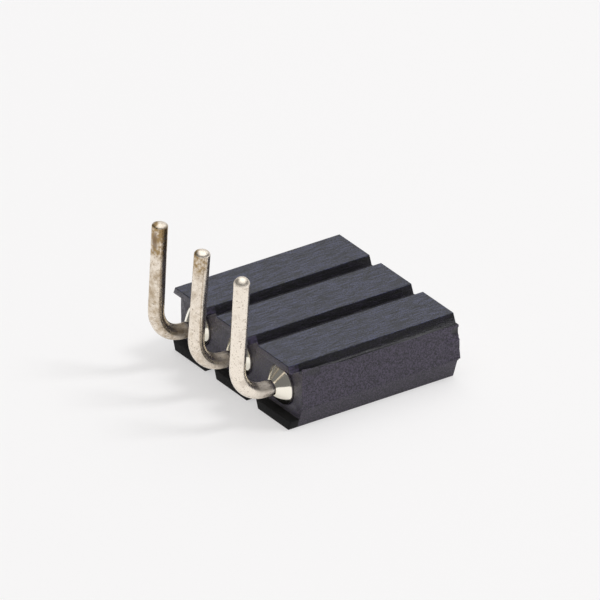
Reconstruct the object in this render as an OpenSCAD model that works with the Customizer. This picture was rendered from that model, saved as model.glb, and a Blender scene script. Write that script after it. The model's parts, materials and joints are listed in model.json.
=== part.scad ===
// Right-angle female header for round pins: one row of turned contacts in a moulded housing.
//
// Millimetres. +X points out of the mating face, Y runs along the strip and +Z is up. The
// housing lies on its long flat face, with its solder tails up. The origin is on that face,
// halfway along the housing and in the middle of the row.
//
// Each contact is two pieces. A turned brass terminal has a flange that seats in the mating
// face, a barrel in the housing, a cone behind it, and a solder tail bent by a right angle. A
// four-finger spring clip is pressed in the barrel and grips the mating pin.

/* [Row] */
// Contacts in the row
contacts = 3; // [1:1:12]
// Distance from one contact to the next
pitch = 2.54; // [2.05:0.01:3.2]

/* [Housing] */
// Length of the housing, along the contacts
housing_l = 6.9; // [5.6:0.05:9]
// Height from the resting face to the board face
housing_h = 2.48; // [2.06:0.01:3.2]
// How far the contact axes lie above the middle of the height
axis_rise = 0.03; // [0:0.01:0.1]
// Width of the notch between two cells, at the board face
top_notch_w = 0.7; // [0.45:0.01:0.9]
// Width of that notch at its floor
top_notch_floor_w = 0.42; // [0.2:0.01:0.44]
// Depth of that notch
top_notch_depth = 0.32; // [0.28:0.01:0.5]
// Width of the notch between two cells, at the resting face
low_notch_w = 0.68; // [0.5:0.01:0.9]
// Width of that notch at its root
low_notch_root_w = 0.14; // [0.1:0.01:0.4]
// Depth of that notch
low_notch_depth = 0.76; // [0.5:0.01:0.9]

/* [Rear channel] */
// Depth of the channel across the rear of the strip
channel_depth = 0.38; // [0.2:0.01:0.8]
// Thickness of the lip above the channel
lip_t = 0.27; // [0.15:0.01:0.33]
// Thickness of the ledge below the channel
ledge_t = 0.36; // [0.2:0.01:0.45]

/* [Snapped ends] */
// How far the torn web at the -Y end stops short of the middle of its notch
near_tear = 0.02; // [0:0.01:0.2]
// The same at the +Y end
far_tear = 0.15; // [0:0.01:0.2]
// Height of the burr that is torn up beside the rear lip, at the -Y end
burr_h = 0.2; // [0.05:0.01:0.3]
// Length of that burr
burr_l = 1.7; // [0.5:0.1:3]
// Thickness of that burr
burr_t = 0.08; // [0.04:0.01:0.15]
// How far a ridge stands out of the torn web, at the mating end
ridge_out = 0.11; // [0.04:0.01:0.15]
// Length of that ridge, along the housing
ridge_l = 0.6; // [0.2:0.1:2]
// Height of that ridge above the notch's root
ridge_h = 0.95; // [0.4:0.05:1]

/* [Terminal] */
// Diameter of the barrel and of the cone's rim
barrel_d = 1.42; // [1.18:0.01:1.71]
// Step from the barrel out to the flange in the mating face
flange_step = 0.14; // [0.06:0.01:0.18]
// Thickness of the flange
flange_t = 0.4; // [0.2:0.01:0.6]
// Step from the tail's surface to the cone's small end
cone_step = 0.03; // [0.01:0.01:0.06]
// Length of barrel that shows in the channel, before the cone
barrel_show = 0.08; // [0:0.01:0.2]
// Length of the cone
cone_l = 0.36; // [0.25:0.01:0.6]
// Radial gap between a pressed piece and its hole
press_gap = 0.01; // [0.005:0.001:0.02]

/* [Solder tail] */
// Diameter of the tail
tail_d = 0.57; // [0.4:0.01:0.66]
// Distance from the housing's rear end back to each tail's axis at its bend, repeated along the row
tail_back = [1.53, 1.54, 1.46]; // [1.4:0.01:2]
// Radius of the bend, at the tail's axis
bend_r = 1.12; // [0.5:0.01:1.3]
// Height of the tails' straight sides above the board face
tail_rise = 3.18; // [2:0.01:6]
// How far the tails lean over the housing, in degrees past upright, repeated along the row
tail_lean = [3.3, 4.6, 3.1]; // [0:0.1:8]
// Height of each tail's rounded tip, repeated along the row
tip_l = [0.27, 0.18, 0.13]; // [0.08:0.01:0.3]

/* [Barrel bore] */
// Thickness of the barrel's wall round the seat that the clip is pressed in
wall_t = 0.17; // [0.12:0.01:0.21]
// Step from the seat out to the mouth, which is countersunk at 45 degrees
countersink = 0.13; // [0.05:0.01:0.16]
// Depth of the seat's shoulder, from the mouth
seat_l = 0.9; // [0.75:0.01:1.2]
// Width of that shoulder
shoulder_w = 0.04; // [0.03:0.01:0.06]
// Depth of the bore, from the mouth
bore_l = 4.2; // [3.4:0.1:4.8]
// Angle of the drill point at the end of the bore, in degrees
drill_angle = 118; // [90:1:140]

/* [Clip] */
// Length of the clip's ring
ring_l = 0.6; // [0.3:0.01:0.72]
// Thickness of the clip's strip
strip_t = 0.08; // [0.05:0.01:0.1]
// Opening between the finger tips
grip_d = 0.4; // [0.32:0.01:0.5]
// Length along which the fingers close in
finger_l = 1.3; // [0.8:0.05:1.6]
// Length of the straight land at the finger tips
land_l = 0.35; // [0.2:0.01:0.6]
// Width of the slots between the fingers
slot_w = 0.06; // [0.03:0.005:0.07]

/* [Hidden] */
$fn = 64;

// How far a cut runs past the face that it opens
past = 0.1;
// Places along the contact's axis
rear_x = -housing_l / 2;
mate_x = housing_l / 2;
channel_x = rear_x + channel_depth;
shoulder_x = mate_x - seat_l;
cone_rim_x = channel_x - barrel_show;
cone_tip_x = cone_rim_x - cone_l;
// Heights
axis_z = housing_h / 2 + axis_rise;
web_top_z = housing_h - top_notch_depth;
rim_z = housing_h + tail_rise;
// The row, from the first contact at the -Y end
first_y = -(contacts - 1) * pitch / 2;
near_y = first_y - pitch / 2 + near_tear;
far_y = -first_y + pitch / 2 - far_tear;
// Radii about the contact's axis, from the flange in to the clip's fingers
barrel_r = barrel_d / 2;
flange_r = barrel_r + flange_step;
seat_r = barrel_r - wall_t;
bore_r = seat_r - shoulder_w;
ring_r = seat_r - press_gap;
finger_r = bore_r - press_gap;

function contact_y(i) = first_y + (i - 1) * pitch;
function lean(i) = tail_lean[(i - 1) % len(tail_lean)];
function tail_x(i) = rear_x - tail_back[(i - 1) % len(tail_back)];
function tip_h(i) = tip_l[(i - 1) % len(tip_l)];

// Lays a shape that was drawn in (Y, Z) along X, from one X to another.
module along_x(from_x, to_x) {
    translate([from_x, 0, 0])
        rotate([90, 0, 90])
            linear_extrude(to_x - from_x)
                children();
}

// Spins an outline that was drawn as (radius, X) about contact i's axis.
module turned(i, points) {
    translate([0, contact_y(i), axis_z])
        rotate([0, 90, 0])
            rotate_extrude()
                polygon(points);
}

// A notch's outline in (Y, Z), open downwards at height zero.
module notch(mouth_w, root_w, depth) {
    flare = (mouth_w - root_w) / 2 / depth * past;
    polygon([
        [-mouth_w / 2 - flare, -past],
        [mouth_w / 2 + flare, -past],
        [root_w / 2, depth],
        [-root_w / 2, depth]
    ]);
}

// The strip's section: cells joined by webs, with a notch above and below each web.
module strip_section() {
    difference() {
        translate([near_y, 0])
            square([far_y - near_y, housing_h]);
        for (i = [0:contacts]) {
            translate([contact_y(i) + pitch / 2, housing_h])
                mirror([0, 1])
                    notch(top_notch_w, top_notch_floor_w, top_notch_depth);
            translate([contact_y(i) + pitch / 2, 0])
                notch(low_notch_w, low_notch_root_w, low_notch_depth);
        }
    }
}

// The burr that the snap tears up beside the rear lip, falling away along the web.
module torn_burr() {
    translate([0, near_y + burr_t, 0])
        rotate([90, 0, 0])
            linear_extrude(burr_t)
                polygon([
                    [channel_x, web_top_z - past],
                    [channel_x, web_top_z + burr_h],
                    [channel_x + burr_l, web_top_z],
                    [channel_x + burr_l, web_top_z - past]
                ]);
}

// The ridge that stands out of the torn web at the mating end, sharpest at its foot.
module torn_ridge() {
    foot_z = low_notch_depth;
    intersection() {
        along_x(mate_x - ridge_l, mate_x)
            polygon([
                [near_y + past, foot_z],
                [near_y - ridge_out, foot_z + ridge_out],
                [near_y - ridge_out / 2, foot_z + ridge_h / 2],
                [near_y - ridge_out / 2, foot_z + ridge_h - ridge_out],
                [near_y + past, foot_z + ridge_h]
            ]);
        translate([0, 0, foot_z - past])
            linear_extrude(ridge_h + 2 * past)
                polygon([
                    [mate_x - ridge_l, near_y],
                    [mate_x, near_y - ridge_out],
                    [mate_x, near_y + past],
                    [mate_x - ridge_l, near_y + past]
                ]);
    }
}

module housing() {
    color("#2b2b33")
        difference() {
            union() {
                along_x(rear_x, mate_x)
                    strip_section();
                torn_burr();
                torn_ridge();
            }
            translate([rear_x - past, near_y - past, ledge_t])
                cube([channel_depth + past, far_y - near_y + 2 * past, housing_h - lip_t - ledge_t]);
            for (i = [1:contacts])
                turned(i, [
                    [0, cone_rim_x - past],
                    [barrel_r + press_gap, cone_rim_x - past],
                    [barrel_r + press_gap, mate_x - flange_t],
                    [flange_r + press_gap, mate_x - flange_t],
                    [flange_r + press_gap, mate_x + past],
                    [0, mate_x + past]
                ]);
        }
}

// The turned part of a terminal, with its stepped bore.
module barrel(i) {
    point_l = bore_r / tan(drill_angle / 2);
    turned(i, [
        [0, cone_tip_x],
        [tail_d / 2 + cone_step, cone_tip_x],
        [barrel_r, cone_rim_x],
        [barrel_r, mate_x - flange_t],
        [flange_r, mate_x - flange_t],
        [flange_r, mate_x],
        [seat_r + countersink, mate_x],
        [seat_r, mate_x - countersink],
        [seat_r, shoulder_x],
        [bore_r, shoulder_x],
        [bore_r, mate_x - bore_l],
        [0, mate_x - bore_l - point_l]
    ]);
}

// The tail: out of the cone, round the bend, and up to a rounded tip, which is a quarter of
// an ellipse turned in four steps. The tail is drawn square and then leant over about the
// point where it leaves the cone.
module tail(i) {
    back = cone_tip_x - tail_x(i);
    rise = (rim_z - axis_z - back * sin(lean(i))) / cos(lean(i));
    translate([cone_tip_x, contact_y(i), axis_z])
        rotate([0, lean(i), 0]) {
            translate([bend_r - back, 0, 0])
                rotate([0, 90, 0])
                    cylinder(d = tail_d, h = back - bend_r + cone_l / 2);
            translate([bend_r - back, 0, bend_r])
                rotate([90, 0, 0])
                    rotate([0, 0, 180])
                        rotate_extrude(angle = 90)
                            translate([bend_r, 0])
                                circle(d = tail_d);
            translate([-back, 0, bend_r])
                cylinder(d = tail_d, h = rise - bend_r);
            translate([-back, 0, rise])
                rotate_extrude()
                    polygon(concat(
                        [[0, 0]],
                        [for (a = [0:22.5:67.5]) [tail_d / 2 * cos(a), tip_h(i) * sin(a)]],
                        [[0, tip_h(i)]]
                    ));
        }
}

module terminal(i) {
    color("#cfc8b4") {
        barrel(i);
        tail(i);
    }
}

// A clip: a ring on the bore's shoulder, and fingers that close in on the mating pin.
module clip(i) {
    grip_r = grip_d / 2;
    grip_x = shoulder_x - finger_l;
    color("#d9b25a")
        difference() {
            turned(i, [
                [ring_r - strip_t, shoulder_x + ring_l],
                [ring_r, shoulder_x + ring_l],
                [ring_r, shoulder_x],
                [finger_r, shoulder_x],
                [grip_r + strip_t, grip_x],
                [grip_r + strip_t, grip_x - land_l],
                [grip_r, grip_x - land_l],
                [grip_r, grip_x],
                [finger_r - strip_t, shoulder_x],
                [ring_r - strip_t, shoulder_x + strip_t]
            ]);
            for (turn = [0, 90])
                translate([grip_x - land_l - past, contact_y(i), axis_z])
                    rotate([turn, 0, 0])
                        translate([0, -seat_r, -slot_w / 2])
                            cube([finger_l + land_l + past, 2 * seat_r, slot_w]);
        }
}

housing();
for (i = [1:contacts]) {
    terminal(i);
    clip(i);
}
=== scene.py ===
import json
import math
import bmesh
import bpy
from mathutils import Matrix, Vector, noise


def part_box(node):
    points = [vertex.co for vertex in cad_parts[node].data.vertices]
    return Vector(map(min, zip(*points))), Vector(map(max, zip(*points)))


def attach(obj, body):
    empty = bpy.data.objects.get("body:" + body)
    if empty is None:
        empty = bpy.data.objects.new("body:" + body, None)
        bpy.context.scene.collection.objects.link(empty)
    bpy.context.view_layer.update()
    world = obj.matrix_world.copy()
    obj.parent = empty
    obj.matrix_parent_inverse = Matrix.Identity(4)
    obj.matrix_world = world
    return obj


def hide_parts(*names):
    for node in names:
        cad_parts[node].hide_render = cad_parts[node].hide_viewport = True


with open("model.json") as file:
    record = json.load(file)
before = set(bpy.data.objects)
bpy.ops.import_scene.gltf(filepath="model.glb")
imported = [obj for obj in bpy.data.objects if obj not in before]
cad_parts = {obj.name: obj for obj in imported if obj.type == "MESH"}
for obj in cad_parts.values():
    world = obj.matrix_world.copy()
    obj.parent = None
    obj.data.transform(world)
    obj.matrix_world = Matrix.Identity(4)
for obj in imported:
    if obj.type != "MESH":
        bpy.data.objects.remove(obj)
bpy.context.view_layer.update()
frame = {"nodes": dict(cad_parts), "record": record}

# ---------------------------------------------------------------- camera
# A long lens half a metre away, looking down at the rear of the header from the -Y side.
# It is aimed a little above the housing, so that the tails and some floor are in the frame.
MM = 0.001
azimuth, elevation = math.radians(-34.4), math.radians(28.4)
camera_distance = 565 * MM
image_width, image_per_mm = 600, 29
frame_width = image_width / image_per_mm * MM
aim_left, aim_up = 15.2 / image_per_mm * MM, 30.8 / image_per_mm * MM
sensor_width = 36
right = Vector((math.cos(azimuth), math.sin(azimuth), 0))
back = Vector((
    math.sin(azimuth) * math.cos(elevation),
    -math.cos(azimuth) * math.cos(elevation),
    math.sin(elevation),
))
up = back.cross(right)
middle = Vector((0.05, 0, 1.25)) * MM
aim = middle - right * aim_left + up * aim_up

lens = bpy.data.cameras.new("camera")
lens.sensor_width = sensor_width
lens.lens = sensor_width * camera_distance / frame_width
lens.clip_start, lens.clip_end = 0.01, 10
camera = bpy.data.objects.new("camera", lens)
bpy.context.collection.objects.link(camera)
turn = Matrix((right, up, back)).transposed().to_4x4()
camera.matrix_world = Matrix.Translation(aim + back * camera_distance) @ turn
bpy.context.scene.camera = camera

# ---------------------------------------------------------------- housing
# The insulator: a strip moulded in black glass-filled polyester, cells joined by thin webs.
# It is snapped off a longer strip, so its two ends are torn webs, rough and without the
# skin of the mould. Everything else has the mould's small edge radius.


def linear(colour):
    """A colour written as sRGB hex, as the linear values that shaders take."""
    parts = [int(colour[i:i + 2], 16) / 255 for i in (1, 3, 5)]
    made = [c / 12.92 if c <= 0.04045 else ((c + 0.055) / 1.055) ** 2.4 for c in parts]
    return (*made, 1.0)


def add_node(tree, kind, settings=None, inputs=None):
    """Adds a node, sets its properties, and sets or links its inputs."""
    made = tree.nodes.new(kind)
    for name, value in (settings or {}).items():
        setattr(made, name, value)
    for name, value in (inputs or {}).items():
        if isinstance(value, bpy.types.NodeSocket):
            tree.links.new(value, made.inputs[name])
        else:
            made.inputs[name].default_value = value
    return made


def math_node(tree, operation, a, b=0.0, c=0.0, clamp=False):
    """One Math node: the operation on a, b and c."""
    return add_node(
        tree, "ShaderNodeMath", {"operation": operation, "use_clamp": clamp},
        {0: a, 1: b, 2: c},
    ).outputs[0]


def mapped(tree, value, ends, levels, smooth=False):
    """Takes a value from its two ends to two levels, and holds it there past them."""
    return add_node(
        tree, "ShaderNodeMapRange",
        {"interpolation_type": "SMOOTHSTEP" if smooth else "LINEAR"},
        {"Value": value, "From Min": ends[0], "From Max": ends[1],
         "To Min": levels[0], "To Max": levels[1]},
    ).outputs["Result"]


def noise_of(tree, where, size, detail, roughness=0.5):
    """A noise pattern whose largest features are about this size."""
    return add_node(
        tree, "ShaderNodeTexNoise", None,
        {"Vector": where, "Scale": 1 / size, "Detail": detail, "Roughness": roughness},
    ).outputs["Fac"]


def blended(tree, share, one, other):
    """One colour, with a share of another in it."""
    return add_node(
        tree, "ShaderNodeMix", {"data_type": "RGBA"}, {"Factor": share, 6: one, 7: other}
    ).outputs[2]


def blended_level(tree, share, one, other):
    """One number, with a share of another in it."""
    return add_node(
        tree, "ShaderNodeMix", {"data_type": "FLOAT"}, {"Factor": share, 2: one, 3: other}
    ).outputs[0]


def new_material(name):
    """An empty node material and its tree."""
    made = bpy.data.materials.new(name)
    made.use_nodes = True
    made.node_tree.nodes.clear()
    return made, made.node_tree


def finish_piece(piece, node):
    """Puts a finished piece on the header, in place of the CAD node that it stands for."""
    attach(piece, "root")
    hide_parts(node)


weld = 1e-7
mould_radius = 0.03 * MM
web_corner_radius = 0.12 * MM
channel_depth = 0.38 * MM
# The tear: its grid and mean depth, and its coarse and fine bumps, as their size, their
# height as a share of the depth, and where in the noise they are taken from
tear_step = 0.05 * MM
tear_depth = 0.016 * MM
coarse_tear, coarse_share, coarse_at = 0.45 * MM, 0.6, 5 * MM
fine_tear, fine_share, fine_at = 0.1 * MM, 0.35, 9 * MM
# How far up and in from an end the notch faces are left as rough as the tear
rough_h, rough_inset = 0.8 * MM, 0.34 * MM
# A height between the ledges and the rear wall's first corner
ledge_limit = 0.45 * MM
# Bites out of the near torn end, as (X, Z, reach, depth)
bites = [
    (3.45 * MM, 1.90 * MM, 0.16 * MM, 0.05 * MM),
    (3.20 * MM, 0.95 * MM, 0.10 * MM, 0.02 * MM),
    (-2.60 * MM, 2.16 * MM, 0.20 * MM, 0.03 * MM),
]

strip = bmesh.new()
strip.from_mesh(frame["nodes"]["housing"].data)
bmesh.ops.remove_doubles(strip, verts=strip.verts, dist=weld)
bmesh.ops.dissolve_limit(
    strip, angle_limit=math.radians(1), verts=strip.verts, edges=strip.edges
)
near_plane = max(
    (f for f in strip.faces if f.normal.y < -0.99), key=lambda f: f.calc_area()
).calc_center_median().y
far_plane = max(
    (f for f in strip.faces if f.normal.y > 0.99), key=lambda f: f.calc_area()
).calc_center_median().y


def torn_faces(side, plane):
    """The faces of one torn end: those that lie on its plane or stand out of it."""
    return [
        f for f in strip.faces
        if f.normal.y * side > 0.05 and all((v.co.y - plane) * side > -weld for v in f.verts)
    ]


ends = ((-1, near_plane), (1, far_plane))
torn_edges = {e for end in ends for f in torn_faces(*end) for e in f.edges}
web_corners = [
    e for e in strip.edges
    if e in torn_edges and any(f.normal.x < -0.99 for f in e.link_faces)
    and e.verts[0].co.x < 0 and abs(e.verts[0].co.y - near_plane) < 1e-6
]
moulded = [
    e for e in strip.edges
    if len(e.link_faces) == 2 and e not in torn_edges
    and e.calc_face_angle() > math.radians(35)
    and e.is_convex
]
bmesh.ops.bevel(
    strip, geom=moulded, offset=mould_radius, segments=3, profile=0.5,
    affect="EDGES", clamp_overlap=True,
)
bmesh.ops.bevel(
    strip, geom=[e for e in web_corners if e.is_valid], offset=web_corner_radius,
    segments=6, profile=0.5, affect="EDGES", clamp_overlap=True,
)

low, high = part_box("housing")
rear_wall_x = low.x + channel_depth
for side, plane in ends:
    for axis in (0, 2):
        cuts = int((high[axis] - low[axis]) / tear_step)
        for i in range(1, cuts):
            at = Vector((0, 0, 0))
            at[axis] = low[axis] + (high[axis] - low[axis]) * i / cuts
            faces = torn_faces(side, plane)
            bmesh.ops.bisect_plane(
                strip,
                geom=[
                    *faces, *dict.fromkeys(e for f in faces for e in f.edges),
                    *dict.fromkeys(v for f in faces for v in f.verts),
                ],
                dist=1e-8, plane_co=at, plane_no=Vector((axis == 0, 0, axis == 2)),
            )
    for v in {v for f in torn_faces(side, plane) for v in f.verts}:
        coarse = noise.noise(Vector((v.co.x, v.co.z, side * coarse_at)) / coarse_tear)
        fine = noise.noise(Vector((v.co.x, v.co.z, side * fine_at)) / fine_tear)
        depth = tear_depth * (1.0 + coarse_share * coarse + fine_share * fine)
        for x, z, reach, deep in bites if side < 0 else ():
            away = math.hypot((v.co.x - x) / 2, v.co.z - z) / reach
            depth += deep * max(0.0, 1 - away * away) ** 0.5
        v.co.y -= side * depth

bmesh.ops.triangulate(strip, faces=[f for f in strip.faces if len(f.verts) > 4])
# the tools above leave points and faces in an order that changes from run to run
order = Vector((1.0, 31.7, 1009.3))
strip.verts.sort(key=lambda v: v.co.dot(order))
strip.faces.sort(key=lambda f: f.calc_center_median().dot(order))
strip_mesh = bpy.data.meshes.new("housing_moulding")
strip.to_mesh(strip_mesh)
strip.free()
strip_mesh.shade_smooth()
strip_mesh.set_sharp_from_angle(angle=math.radians(35))
shaded = bpy.data.objects.new("housing_shading", strip_mesh)
bpy.context.collection.objects.link(shaded)
# flat faces keep their own normal, and only the rounded edges between them turn
weighting = shaded.modifiers.new("flat_faces_first", "WEIGHTED_NORMAL")
weighting.keep_sharp = True
bpy.context.view_layer.update()
housing_mesh = bpy.data.meshes.new_from_object(
    shaded.evaluated_get(bpy.context.evaluated_depsgraph_get())
)
housing_mesh.name = "housing_moulding_finished"
bpy.data.objects.remove(shaded)
housing = bpy.data.objects.new("housing_moulding", housing_mesh)
bpy.context.collection.objects.link(housing)

# Glass-filled polyester, moulded: near black. Short glass fibres lie along the flow and show
# through the skin as fine pale streaks along X. The upper faces are paler and bluish, a
# painted sheen for the light that they reflect, and the rear ones paler and more purple, a
# painted reflection of the white floor. Real fibres are a tenth as thick; they are drawn
# coarser so that they hold at this size. The torn ends and the notch faces below them are
# rough and paler, and the ledges are rough and blackest, with painted shade for the shade
# under the cones.
fibre_l, fibre_d, grain_size = 0.5 * MM, 0.06 * MM, 0.055 * MM
torn_gloss, ledge_gloss = 0.6, 0.9
plastic, tree = new_material("glass_filled_polyester_moulded")
place = add_node(tree, "ShaderNodeTexCoord").outputs["Object"]
split = add_node(tree, "ShaderNodeSeparateXYZ", None, {"Vector": place}).outputs
along = add_node(
    tree, "ShaderNodeMapping", None,
    {"Vector": place, "Scale": (1 / fibre_l, 1 / fibre_d, 1 / fibre_d)},
).outputs["Vector"]
streaks = noise_of(tree, along, 1.0, 3.0, 0.6)
grain = noise_of(tree, place, grain_size, 2.0, 0.7)
half_streaks = math_node(tree, "MULTIPLY", streaks, 0.5)
fibres = math_node(tree, "MULTIPLY_ADD", grain, 0.5, half_streaks)


def ramp(value, dark_at, dark, pale_at, pale):
    """The plastic's colour, from dark at one value of a pattern to pale at another."""
    made = add_node(tree, "ShaderNodeValToRGB", None, {"Fac": value})
    for element, at, colour in zip(
        made.color_ramp.elements, (dark_at, pale_at), (dark, pale)
    ):
        element.position, element.color = at, linear(colour)
    return made.outputs["Color"]


skin = ramp(fibres, 0.44, "#060608", 0.62, "#2c2934")
# the upper faces are bluer and paler: a painted sheen, for the light that they reflect
upper_skin_painted_sheen = ramp(fibres, 0.46, "#0c0e18", 0.60, "#373b5a")
# the rear faces are paler and more purple: a painted reflection of the white floor
rear_skin_painted_reflection = ramp(fibres, 0.44, "#1c1a24", 0.63, "#5e5670")
# the torn ends darken a little towards their foot, where the notch's own face begins
foot = mapped(tree, split["Z"], (1.1 * MM, 0.3 * MM), (0.0, 0.05), smooth=True)
bare = ramp(math_node(tree, "SUBTRACT", grain, foot), 0.38, "#27242c", 0.64, "#585064")
sheen = mapped(tree, fibres, (0.42, 0.58), (0.46, 0.20))
upper = math_node(tree, "GREATER_THAN", split["Z"], high.z - mould_radius)
rear = math_node(tree, "LESS_THAN", split["X"], rear_wall_x + 0.02 * MM)
middle_y, half_y = (near_plane + far_plane) / 2, (far_plane - near_plane) / 2
outwards = math_node(tree, "ABSOLUTE", math_node(tree, "SUBTRACT", split["Y"], middle_y))
end_face = mapped(tree, outwards, (half_y - 0.06 * MM, half_y - 0.02 * MM), (0.0, 1.0))
notch_face = math_node(
    tree, "MULTIPLY", math_node(tree, "GREATER_THAN", outwards, half_y - rough_inset),
    math_node(tree, "LESS_THAN", split["Z"], rough_h),
)
torn = math_node(tree, "MAXIMUM", end_face, notch_face)
# the ledges: rougher, and near black as painted shade, for the shade under the cones and the
# rear wall
ledge = math_node(
    tree, "MULTIPLY", math_node(tree, "LESS_THAN", split["X"], rear_wall_x - 0.01 * MM),
    math_node(tree, "LESS_THAN", split["Z"], ledge_limit),
)
colour = skin
# the ledges' near black, mixed in last, is painted shade
for share, other in (
    (rear, rear_skin_painted_reflection), (upper, upper_skin_painted_sheen), (torn, bare), (ledge, linear("#040406")),
):
    colour = blended(tree, share, colour, other)
gloss = blended_level(tree, torn, sheen, torn_gloss)
gloss = blended_level(tree, ledge, gloss, ledge_gloss)
relief = add_node(
    tree, "ShaderNodeBump", None,
    {"Height": fibres, "Strength": 1.0, "Distance": 0.02 * MM},
).outputs["Normal"]
shader = add_node(
    tree, "ShaderNodeBsdfPrincipled", None,
    {"Base Color": colour, "Roughness": gloss, "Normal": relief, "IOR": 1.55},
)
add_node(tree, "ShaderNodeOutputMaterial", None, {"Surface": shader.outputs["BSDF"]})
housing_mesh.materials.clear()
housing_mesh.materials.append(plastic)
finish_piece(housing, "housing")

# ---------------------------------------------------------------- terminals
# The contacts: turned from brass rod and plated with nickel, so pale and a little warm.
# Each has a flange in the mating face, a barrel, a cone behind it, and a tail that is bent
# upwards after turning. The cone keeps its turned shine, and handling has dulled the tail.
record = frame["record"]
mounts = {m["name"]: m for m in record["mounts"]}
barrel_r, flange_r, flange_t = 0.71 * MM, 0.85 * MM, 0.4 * MM
seat_r, mouth_r, bore_r = 0.54 * MM, 0.67 * MM, 0.5 * MM
seat_l, bore_l = 0.9 * MM, 4.2 * MM
drill_angle = 118
drill_point_l = bore_r / math.tan(math.radians(drill_angle / 2))
cone_step, cone_l = 0.03 * MM, 0.36 * MM
bend_r = 1.12 * MM
turned_edge = 0.02 * MM
turning_steps = 128
mate_x = high.x
rim_inset = 0.30 * MM
cone_rim_x = low.x + rim_inset
cone_tip_x = cone_rim_x - cone_l


def turned(mesh, centre, profile, steps):
    """Adds a shape turned about X: profile is (radius, x) points, from axis to axis."""
    rings = []
    for radius, x in profile:
        if radius == 0:
            rings.append([mesh.verts.new((x, centre.y, centre.z))])
            continue
        rings.append([
            mesh.verts.new((
                x,
                centre.y + radius * math.cos(2 * math.pi * i / steps),
                centre.z + radius * math.sin(2 * math.pi * i / steps),
            ))
            for i in range(steps)
        ])
    for a, b in zip(rings, rings[1:]):
        for i in range(steps):
            j = (i + 1) % steps
            if len(a) == 1:
                mesh.faces.new((a[0], b[j], b[i]))
            elif len(b) == 1:
                mesh.faces.new((a[i], a[j], b[0]))
            else:
                mesh.faces.new((a[i], a[j], b[j], b[i]))


def new_tree(name, inputs):
    """An empty Geometry Nodes tree with these named inputs, and its input sockets."""
    tree = bpy.data.node_groups.new(name, "GeometryNodeTree")
    for title, kind in inputs:
        tree.interface.new_socket(title, in_out="INPUT", socket_type="NodeSocket" + kind)
    tree.interface.new_socket("Geometry", in_out="OUTPUT", socket_type="NodeSocketGeometry")
    return tree, add_node(tree, "NodeGroupInput").outputs


def finish_tree(tree, geometry, material):
    """Ends a tree: instances made real, and the material set."""
    real = add_node(
        tree, "GeometryNodeRealizeInstances", None, {"Geometry": geometry}
    ).outputs["Geometry"]
    coated = add_node(
        tree, "GeometryNodeSetMaterial", None, {"Geometry": real, "Material": material}
    ).outputs["Geometry"]
    add_node(tree, "NodeGroupOutput", None, {"Geometry": coated})


def grown(tree, name, values):
    """Runs a Geometry Nodes tree on an empty mesh with these inputs, and returns its mesh."""
    holder = bpy.data.objects.new(name, bpy.data.meshes.new(name))
    bpy.context.collection.objects.link(holder)
    modifier = holder.modifiers.new(name, "NODES")
    modifier.node_group = tree
    for item in tree.interface.items_tree:
        if item.in_out == "INPUT" and item.name in values:
            modifier[item.identifier] = values[item.name]
    bpy.context.view_layer.update()
    mesh = bpy.data.meshes.new_from_object(
        holder.evaluated_get(bpy.context.evaluated_depsgraph_get())
    )
    bpy.data.objects.remove(holder)
    return mesh


# The tail's tree: a round wire along a bent path. Within the dome's height of its end, its
# points close up and its radius falls, as on a quarter of an ellipse.
bend_points, path_points, wire_sides = 48, 480, 48
tails, given = new_tree("solder_tail", [
    ("Start", "Vector"), ("Corner", "Vector"), ("End", "Vector"), ("Bend radius", "Float"),
    ("Wire radius", "Float"), ("Dome height", "Float"), ("Finish", "Material"),
])
square = add_node(
    tails, "GeometryNodeCurvePrimitiveQuadrilateral", {"mode": "POINTS"},
    {"Point 1": given["Start"], "Point 2": given["Corner"],
     "Point 3": given["End"], "Point 4": given["End"]},
).outputs["Curve"]
opened = add_node(
    tails, "GeometryNodeSetSplineCyclic", None, {"Geometry": square, "Cyclic": False}
).outputs["Geometry"]
doubled = add_node(
    tails, "FunctionNodeCompare", {"data_type": "INT", "operation": "EQUAL"},
    {2: add_node(tails, "GeometryNodeInputIndex").outputs["Index"], 3: 3},
).outputs["Result"]
route = add_node(
    tails, "GeometryNodeDeleteGeometry", {"domain": "POINT"},
    {"Geometry": opened, "Selection": doubled},
).outputs["Geometry"]
bent = add_node(
    tails, "GeometryNodeFilletCurve", {"mode": "POLY"},
    {"Curve": route, "Count": bend_points, "Radius": given["Bend radius"]},
).outputs["Curve"]
even = add_node(
    tails, "GeometryNodeResampleCurve", {"mode": "COUNT"},
    {"Curve": bent, "Count": path_points},
).outputs["Curve"]
gone = add_node(tails, "GeometryNodeSplineParameter").outputs["Length"]
whole = add_node(tails, "GeometryNodeCurveLength", None, {"Curve": even}).outputs["Length"]
ahead = math_node(tails, "SUBTRACT", whole, gone)
share = math_node(tails, "DIVIDE", ahead, given["Dome height"], clamp=True)
quarter = math_node(tails, "MULTIPLY", math_node(tails, "SUBTRACT", 1.0, share), math.pi / 2)
climb = math_node(tails, "SINE", quarter)
fall = math_node(tails, "COSINE", quarter)
in_dome = add_node(
    tails, "FunctionNodeCompare", {"data_type": "FLOAT", "operation": "LESS_THAN"},
    {0: ahead, 1: given["Dome height"]},
).outputs["Result"]
direction = add_node(
    tails, "ShaderNodeVectorMath", {"operation": "NORMALIZE"},
    {0: add_node(
        tails, "ShaderNodeVectorMath", {"operation": "SUBTRACT"},
        {0: given["Corner"], 1: given["End"]},
    ).outputs["Vector"]},
).outputs["Vector"]
lowered = math_node(
    tails, "MULTIPLY", given["Dome height"], math_node(tails, "SUBTRACT", 1.0, climb)
)
back_off = add_node(
    tails, "ShaderNodeVectorMath", {"operation": "SCALE"}, {0: direction, "Scale": lowered}
).outputs["Vector"]
in_place = add_node(
    tails, "ShaderNodeVectorMath", {"operation": "ADD"}, {0: given["End"], 1: back_off}
).outputs["Vector"]
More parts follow.
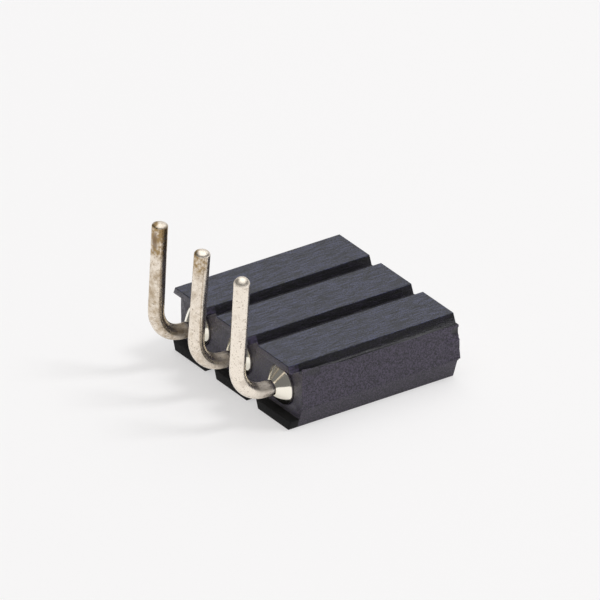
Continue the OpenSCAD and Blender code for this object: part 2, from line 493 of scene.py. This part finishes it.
tapered = add_node(
    tails, "GeometryNodeSetCurveRadius", None, {"Curve": even, "Radius": fall}
).outputs["Curve"]
spaced = add_node(
    tails, "GeometryNodeSetPosition", None,
    {"Geometry": tapered, "Selection": in_dome, "Position": in_place},
).outputs["Geometry"]
section = add_node(
    tails, "GeometryNodeCurvePrimitiveCircle", {"mode": "RADIUS"},
    {"Resolution": wire_sides, "Radius": given["Wire radius"]},
).outputs["Curve"]
wire = add_node(
    tails, "GeometryNodeCurveToMesh", None,
    {"Curve": spaced, "Profile Curve": section, "Fill Caps": True,
     "Scale": add_node(tails, "GeometryNodeInputRadius").outputs["Radius"]},
).outputs["Mesh"]
closed = add_node(
    tails, "GeometryNodeMergeByDistance", None, {"Geometry": wire, "Distance": weld}
).outputs["Geometry"]
finish_tree(tails, closed, given["Finish"])

# Nickel plate on turned brass. The cone is bright, with fine rings left by the tool, drawn
# coarser than the real ones. The tail is duller, the most in its bend, with small brown pits
# and scuffs. It has tarnished brown towards its tip, the most at the +Y end of the row. The
# domes at the tips get that brown on their outer side too, as painted shade.
mottle_size, blotch_size, pit_size = 0.14 * MM, 0.45 * MM, 0.075 * MM
ring_step = 0.03 * MM
half_pitch = 1.27 * MM
# where the tails' sides turn into their domes, and the X of the domes' middles
dome_heights, dome_x = (5.62 * MM, 5.70 * MM), -4.69 * MM
# which way the side of a dome that gets painted shade faces, in X and Y
shaded_side_x, shaded_side_y = -0.825, 0.565
# the tarnish begins lower on each tail towards +Y, and is stronger there below that height
tarnish_heights, tarnish_fall = (4.8 * MM, 5.3 * MM), 0.126
low_tarnish, low_tarnish_per_mm = 0.28, 0.065
cone_gloss = 0.12
plating, tree = new_material("nickel_plate_on_turned_brass")
place = add_node(tree, "ShaderNodeTexCoord").outputs["Object"]
split = add_node(tree, "ShaderNodeSeparateXYZ", None, {"Vector": place}).outputs
on_tail = mapped(
    tree, split["X"], (cone_tip_x, cone_tip_x - 0.25 * MM), (0.0, 1.0), smooth=True
)
mottle = noise_of(tree, place, mottle_size, 3.0, 0.6)
blotch = noise_of(tree, place, blotch_size, 2.0)
along_row = mapped(tree, split["Y"], (-2.4 * MM, 1.0 * MM), (0.06, 1.0), smooth=True)
boundary = math_node(tree, "MULTIPLY_ADD", split["Y"], tarnish_fall, split["Z"])
lower_part = math_node(
    tree, "MULTIPLY_ADD", split["Y"], low_tarnish_per_mm / MM, low_tarnish
)
to_tip = mapped(tree, boundary, tarnish_heights, (lower_part, 1.1), smooth=True)
# the domes are clean, but their outer side is darkened with the tarnish colour as painted
# shade
in_row = math_node(tree, "WRAP", split["Y"], half_pitch, -half_pitch)
outer = math_node(
    tree, "MULTIPLY_ADD", math_node(tree, "SUBTRACT", split["X"], dome_x), shaded_side_x,
    math_node(tree, "MULTIPLY", in_row, shaded_side_y),
)
dome_outer_painted_shade = mapped(tree, outer, (0.02 * MM, 0.14 * MM), (0.1, 1.2))
below_dome = mapped(tree, split["Z"], dome_heights, (1.0, dome_outer_painted_shade))
patchy = math_node(tree, "MULTIPLY", math_node(tree, "ADD", mottle, blotch), 0.5)
uneven = mapped(tree, patchy, (0.40, 0.60), (0.25, 1.6))
tarnish = math_node(tree, "MULTIPLY", math_node(tree, "MULTIPLY", along_row, to_tip), uneven)
tarnish = math_node(tree, "MULTIPLY", tarnish, below_dome)
tarnish = math_node(tree, "MULTIPLY", tarnish, on_tail, clamp=True)
plate = blended(tree, on_tail, linear("#fdf8ea"), linear("#faf0e2"))
aged = blended(tree, tarnish, plate, linear("#a68d66"))
scuff = mapped(tree, blotch, (0.58, 0.74), (0.0, 0.3))
pits = noise_of(tree, place, pit_size, 1.0)
specks = mapped(tree, pits, (0.58, 0.76), (0.0, 0.6))
scuffed = math_node(tree, "MULTIPLY", math_node(tree, "MAXIMUM", scuff, specks), on_tail)
# one darker scuff, where a tool has gripped the last tail below its tip
last = mounts["tail_3"]
grip_mark = Vector(last["pos_m"]) + Vector((-0.26, -0.12, 1.15)) * MM
apart = add_node(
    tree, "ShaderNodeVectorMath", {"operation": "SUBTRACT"}, {0: place, 1: grip_mark}
).outputs["Vector"]
narrow = add_node(
    tree, "ShaderNodeVectorMath", {"operation": "MULTIPLY"}, {0: apart, 1: (1, 1, 0.35)}
).outputs["Vector"]
reach = add_node(
    tree, "ShaderNodeVectorMath", {"operation": "LENGTH"}, {0: narrow}
).outputs["Value"]
wavered = math_node(tree, "MULTIPLY_ADD", mottle, 0.25 * MM, reach)
grip = mapped(tree, wavered, (0.30 * MM, 0.20 * MM), (0.0, 0.85), smooth=True)
marks = math_node(tree, "MAXIMUM", scuffed, grip)
worn = blended(tree, marks, aged, linear("#85705a"))
dulled = mapped(tree, mottle, (0.3, 0.7), (0.18, 0.32))
in_bend = mapped(tree, split["X"], (-4.5 * MM, -4.0 * MM), (0.0, 0.24), smooth=True)
# each tail is sheared off and rounded, which leaves its dome duller than its side
on_dome = mapped(tree, split["Z"], dome_heights, (0.0, 0.16), smooth=True)
dull = math_node(tree, "ADD", math_node(tree, "ADD", dulled, in_bend), on_dome)
gloss = blended_level(tree, on_tail, cone_gloss, dull)
rings = add_node(
    tree, "ShaderNodeTexNoise", {"noise_dimensions": "1D"},
    {"W": split["X"], "Scale": 1 / ring_step, "Detail": 2.0},
).outputs["Fac"]
tool_rings = add_node(
    tree, "ShaderNodeBump", None,
    {"Height": rings, "Strength": 0.15, "Distance": 0.003 * MM},
).outputs["Normal"]
dents = add_node(
    tree, "ShaderNodeBump", None,
    {"Height": blotch, "Strength": 0.2, "Distance": 0.01 * MM, "Normal": tool_rings},
).outputs["Normal"]
shader = add_node(
    tree, "ShaderNodeBsdfPrincipled", None,
    {"Base Color": worn, "Roughness": gloss, "Metallic": 1.0, "Normal": dents},
)
add_node(tree, "ShaderNodeOutputMaterial", None, {"Surface": shader.outputs["BSDF"]})

# how far inside the cone a tail starts, in millimetres
start_inside = 0.12
for number in (1, 2, 3):
    socket, tail = mounts[f"socket_{number}"], mounts[f"tail_{number}"]
    centre = Vector(socket["pos_m"])
    tail_r = tail["dims"]["r_mm"] * MM
    rising = Vector(tail["axis"])
    backwards = Vector((-rising.z, 0, rising.x))
    half = tail["dims"]["length_mm"] / 2 * MM
    corner = Vector(tail["pos_m"]) - rising * (half + bend_r)
    rim = Vector(tail["pos_m"]) + rising * half
    # the dome that reaches the CAD's height, for a tail that leans
    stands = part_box(f"terminal_{number}")[1].z - rim.z
    dome = math.sqrt(stands ** 2 - (tail_r * rising.x) ** 2) / rising.z
    start = Vector((cone_tip_x, centre.y, centre.z)) - backwards * start_inside * MM

    contact = bmesh.new()
    turned(contact, centre, [
        (0, cone_tip_x),
        (tail_r + cone_step - turned_edge, cone_tip_x),
        (tail_r + cone_step, cone_tip_x + turned_edge),
        (barrel_r - turned_edge, cone_rim_x - turned_edge),
        (barrel_r, cone_rim_x + turned_edge / 2),
        (barrel_r, mate_x - flange_t),
        (flange_r - turned_edge, mate_x - flange_t),
        (flange_r, mate_x - flange_t + turned_edge),
        (flange_r, mate_x - turned_edge),
        (flange_r - turned_edge, mate_x),
        (mouth_r + turned_edge, mate_x),
        (mouth_r, mate_x - turned_edge / 2),
        (seat_r, mate_x - (mouth_r - seat_r)),
        (seat_r, mate_x - seat_l),
        (bore_r, mate_x - seat_l),
        (bore_r, mate_x - bore_l),
        (0, mate_x - bore_l - drill_point_l),
    ], turning_steps)
    wire = grown(tails, f"tail_{number}", {
        "Start": start, "Corner": corner, "End": rim + rising * dome,
        "Bend radius": bend_r, "Wire radius": tail_r, "Dome height": dome,
        "Finish": plating,
    })
    contact.from_mesh(wire)
    bmesh.ops.recalc_face_normals(contact, faces=contact.faces)
    mesh = bpy.data.meshes.new(f"terminal_{number}_turned")
    contact.to_mesh(mesh)
    contact.free()
    mesh.shade_smooth()
    mesh.set_sharp_from_angle(angle=math.radians(25))
    mesh.materials.clear()
    mesh.materials.append(plating)
    terminal = bpy.data.objects.new(f"terminal_{number}_turned", mesh)
    bpy.context.collection.objects.link(terminal)
    finish_piece(terminal, f"terminal_{number}")

# ---------------------------------------------------------------- clips
# The spring clips: stamped from beryllium copper strip, rolled into a ring, and gold plated.
# The ring is pressed in the barrel's seat, and four fingers close in on the mating pin.
ring_r, ring_l = 0.53 * MM, 0.6 * MM
strip_t = 0.08 * MM
finger_r, finger_l, land_l = 0.49 * MM, 1.3 * MM, 0.35 * MM
grip_r = 0.2 * MM
slot_w = 0.06 * MM
fingers = 4
# the grids that are rolled up: points along X, and round it
finger_points, ring_points = (28, 14), (8, 97)

clips, given = new_tree("spring_clip", [
    ("Seat", "Vector"), ("Ring radius", "Float"), ("Ring length", "Float"),
    ("Strip thickness", "Float"), ("Finger radius", "Float"), ("Finger length", "Float"),
    ("Land length", "Float"), ("Grip radius", "Float"), ("Slot width", "Float"),
    ("Fingers", "Int"), ("Finish", "Material"),
])


def rolled(tree, grid, x, radius, angle, thickness):
    """Rolls a flat grid about X into a curved strip, and gives the strip its thickness."""
    outwards = add_node(
        tree, "ShaderNodeCombineXYZ", None,
        {"X": 0.0, "Y": math_node(tree, "SINE", angle), "Z": math_node(tree, "COSINE", angle)},
    ).outputs["Vector"]
    out = add_node(
        tree, "ShaderNodeVectorMath", {"operation": "SCALE"}, {0: outwards, "Scale": radius}
    ).outputs["Vector"]
    at = add_node(
        tree, "ShaderNodeVectorMath", {"operation": "ADD"},
        {0: out, 1: add_node(tree, "ShaderNodeCombineXYZ", None, {"X": x}).outputs["Vector"]},
    ).outputs["Vector"]
    outer = add_node(
        tree, "GeometryNodeSetPosition", None, {"Geometry": grid, "Position": at}
    ).outputs["Geometry"]
    inwards = add_node(
        tree, "ShaderNodeVectorMath", {"operation": "MULTIPLY"},
        {0: add_node(tree, "GeometryNodeInputPosition").outputs["Position"], 1: (0, -1, -1)},
    ).outputs["Vector"]
    inwards = add_node(
        tree, "ShaderNodeVectorMath", {"operation": "NORMALIZE"}, {0: inwards}
    ).outputs["Vector"]
    thick = add_node(
        tree, "GeometryNodeExtrudeMesh", {"mode": "FACES"},
        {"Mesh": outer, "Offset": inwards, "Offset Scale": thickness, "Individual": False},
    ).outputs["Mesh"]
    shell = add_node(tree, "GeometryNodeJoinGeometry")
    tree.links.new(thick, shell.inputs[0])
    tree.links.new(outer, shell.inputs[0])
    return add_node(
        tree, "GeometryNodeMergeByDistance", None,
        {"Geometry": shell.outputs[0], "Distance": weld},
    ).outputs["Geometry"]


grid_place = add_node(
    clips, "ShaderNodeSeparateXYZ", None,
    {"Vector": add_node(clips, "GeometryNodeInputPosition").outputs["Position"]},
).outputs
lengthwise = math_node(clips, "ADD", grid_place["X"], 0.5)
finger_grid = add_node(
    clips, "GeometryNodeMeshGrid", None,
    {"Size X": 1.0, "Size Y": 1.0,
     "Vertices X": finger_points[0], "Vertices Y": finger_points[1]},
).outputs["Mesh"]
reach = math_node(clips, "ADD", given["Finger length"], given["Land length"])
reach = math_node(clips, "ADD", reach, given["Strip thickness"])
inside = math_node(clips, "MULTIPLY", lengthwise, reach)
finger_x = math_node(clips, "SUBTRACT", given["Strip thickness"], inside)
tip_r = math_node(clips, "ADD", given["Grip radius"], given["Strip thickness"])
finger_radius = add_node(
    clips, "ShaderNodeMapRange", {"interpolation_type": "SMOOTHSTEP"},
    {"Value": inside, "From Min": given["Strip thickness"],
     "From Max": math_node(clips, "ADD", given["Finger length"], given["Strip thickness"]),
     "To Min": given["Finger radius"], "To Max": tip_r},
).outputs["Result"]
turn_each = math_node(clips, "DIVIDE", 2 * math.pi, given["Fingers"])
slot_turn = math_node(clips, "DIVIDE", given["Slot width"], finger_radius)
finger_angle = math_node(
    clips, "MULTIPLY", grid_place["Y"], math_node(clips, "SUBTRACT", turn_each, slot_turn)
)
finger = rolled(
    clips, finger_grid, finger_x, finger_radius, finger_angle, given["Strip thickness"]
)
posts = add_node(
    clips, "GeometryNodeMeshLine", None,
    {"Count": given["Fingers"], "Start Location": (0, 0, 0), "Offset": (0, 0, 0)},
).outputs["Mesh"]
post = add_node(clips, "GeometryNodeInputIndex").outputs["Index"]
post_turn = math_node(clips, "MULTIPLY", math_node(clips, "ADD", post, 0.5), turn_each)
spread = add_node(
    clips, "GeometryNodeInstanceOnPoints", None,
    {"Points": posts, "Instance": finger,
     "Rotation": add_node(
         clips, "ShaderNodeCombineXYZ", None, {"X": post_turn}
     ).outputs["Vector"]},
).outputs["Instances"]
ring_grid = add_node(
    clips, "GeometryNodeMeshGrid", None,
    {"Size X": 1.0, "Size Y": 1.0,
     "Vertices X": ring_points[0], "Vertices Y": ring_points[1]},
).outputs["Mesh"]
ring = rolled(
    clips, ring_grid, math_node(clips, "MULTIPLY", lengthwise, given["Ring length"]),
    given["Ring radius"], math_node(clips, "MULTIPLY", grid_place["Y"], 2 * math.pi),
    given["Strip thickness"],
)
both = add_node(clips, "GeometryNodeJoinGeometry")
clips.links.new(spread, both.inputs[0])
clips.links.new(ring, both.inputs[0])
seated = add_node(
    clips, "GeometryNodeTransform", None,
    {"Geometry": both.outputs[0], "Translation": given["Seat"]},
).outputs["Geometry"]
finish_tree(clips, seated, given["Finish"])

# Gold over nickel on rolled strip: warm and bright, a little cloudy along the rolling.
line_l, line_d = 0.4 * MM, 0.06 * MM
gold, tree = new_material("gold_plate_on_copper_strip")
place = add_node(tree, "ShaderNodeTexCoord").outputs["Object"]
rolling = add_node(
    tree, "ShaderNodeMapping", None,
    {"Vector": place, "Scale": (1 / line_l, 1 / line_d, 1 / line_d)},
).outputs["Vector"]
lines = noise_of(tree, rolling, 1.0, 2.0)
shade = blended(tree, lines, linear("#e6bd68"), linear("#f6d791"))
gloss = mapped(tree, lines, (0.3, 0.7), (0.16, 0.30))
relief = add_node(
    tree, "ShaderNodeBump", None,
    {"Height": lines, "Strength": 0.2, "Distance": 0.003 * MM},
).outputs["Normal"]
shader = add_node(
    tree, "ShaderNodeBsdfPrincipled", None,
    {"Base Color": shade, "Roughness": gloss, "Metallic": 1.0, "Normal": relief},
)
add_node(tree, "ShaderNodeOutputMaterial", None, {"Surface": shader.outputs["BSDF"]})

for number in (1, 2, 3):
    centre = Vector(mounts[f"socket_{number}"]["pos_m"])
    sprung = grown(clips, f"clip_{number}_sprung", {
        "Seat": Vector((mate_x - seat_l, centre.y, centre.z)),
        "Ring radius": ring_r, "Ring length": ring_l, "Strip thickness": strip_t,
        "Finger radius": finger_r, "Finger length": finger_l, "Land length": land_l,
        "Grip radius": grip_r, "Slot width": slot_w, "Fingers": fingers, "Finish": gold,
    })
    tidied = bmesh.new()
    tidied.from_mesh(sprung)
    bmesh.ops.recalc_face_normals(tidied, faces=tidied.faces)
    tidied.to_mesh(sprung)
    tidied.free()
    sprung.shade_smooth()
    sprung.set_sharp_from_angle(angle=math.radians(30))
    clip = bpy.data.objects.new(f"clip_{number}_sprung", sprung)
    bpy.context.collection.objects.link(clip)
    finish_piece(clip, f"clip_{number}")

# ---------------------------------------------------------------- floor and lights
# A white paper floor in a dim room. A wide softbox behind gives the upper faces their sheen,
# and one overhead fills. A small bright one on the right throws the tails' shadows to the
# left; it is kept out of reflections, where it would show as stray specks.
half_floor = 1.2
# how brightly the camera, and reflections, see the paper's own white and the room
paper_seen, paper_mirrored = 0.5, 0.5
room_light, room_seen, room_mirrored = 0.07, 0.93, 0.1


def seen(tree, direct, mirrored):
    """The share for the camera's rays, and for those that a reflection or glass sends on."""
    path = add_node(tree, "ShaderNodeLightPath").outputs
    sent_on = math_node(
        tree, "ADD", path["Is Glossy Ray"], path["Is Transmission Ray"], clamp=True
    )
    return math_node(
        tree, "ADD", math_node(tree, "MULTIPLY", path["Is Camera Ray"], direct),
        math_node(tree, "MULTIPLY", sent_on, mirrored),
    )


floor_mesh = bpy.data.meshes.new("floor")
floor_mesh.from_pydata(
    [(x * half_floor, y * half_floor, 0) for x, y in ((-1, -1), (1, -1), (1, 1), (-1, 1))],
    [], [(0, 1, 2, 3)],
)
floor = bpy.data.objects.new("floor", floor_mesh)
bpy.context.collection.objects.link(floor)
paper, tree = new_material("white_paper_floor")
lit = add_node(tree, "ShaderNodeBsdfDiffuse", None, {"Color": linear("#f6f5f5")})
glow = add_node(
    tree, "ShaderNodeEmission", None, {"Color": linear("#fefdfd"), "Strength": 1.0}
)
blend = add_node(
    tree, "ShaderNodeMixShader", None,
    {0: seen(tree, paper_seen, paper_mirrored), 1: lit.outputs[0], 2: glow.outputs[0]},
)
add_node(tree, "ShaderNodeOutputMaterial", None, {"Surface": blend.outputs[0]})
floor_mesh.materials.append(paper)

world = bpy.data.worlds.new("studio")
bpy.context.scene.world = world
world.use_nodes = True
tree = world.node_tree
brightness = math_node(tree, "ADD", seen(tree, room_seen, room_mirrored), room_light)
tree.links.new(brightness, tree.nodes["Background"].inputs["Strength"])
tree.nodes["Background"].inputs["Color"].default_value = (1, 1, 1, 1)


def softbox(name, towards, distance, width, height, strength):
    """A rectangular light that faces the header. At strength 1 it looks white."""
    lamp = bpy.data.lights.new(name, "AREA")
    lamp.shape, lamp.size, lamp.size_y = "RECTANGLE", width, height
    lamp.energy = strength * math.pi * width * height
    held = bpy.data.objects.new(name, lamp)
    bpy.context.collection.objects.link(held)
    direction = Vector(towards).normalized()
    held.location = direction * distance
    held.rotation_euler = direction.to_track_quat("Z", "Y").to_euler()
    return held


softbox("softbox_behind", (0.6, 0.63, 0.64), 0.9, 1.3, 0.9, 0.64)
softbox("softbox_above", (0.1, -0.1, 1), 0.95, 1.5, 1.5, 1.18)
key = softbox("softbox_right", (0.473, -0.34, 0.83), 0.9, 0.2, 0.2, 20.0)
key.visible_glossy = False

bpy.context.scene.view_settings.view_transform = "Standard"
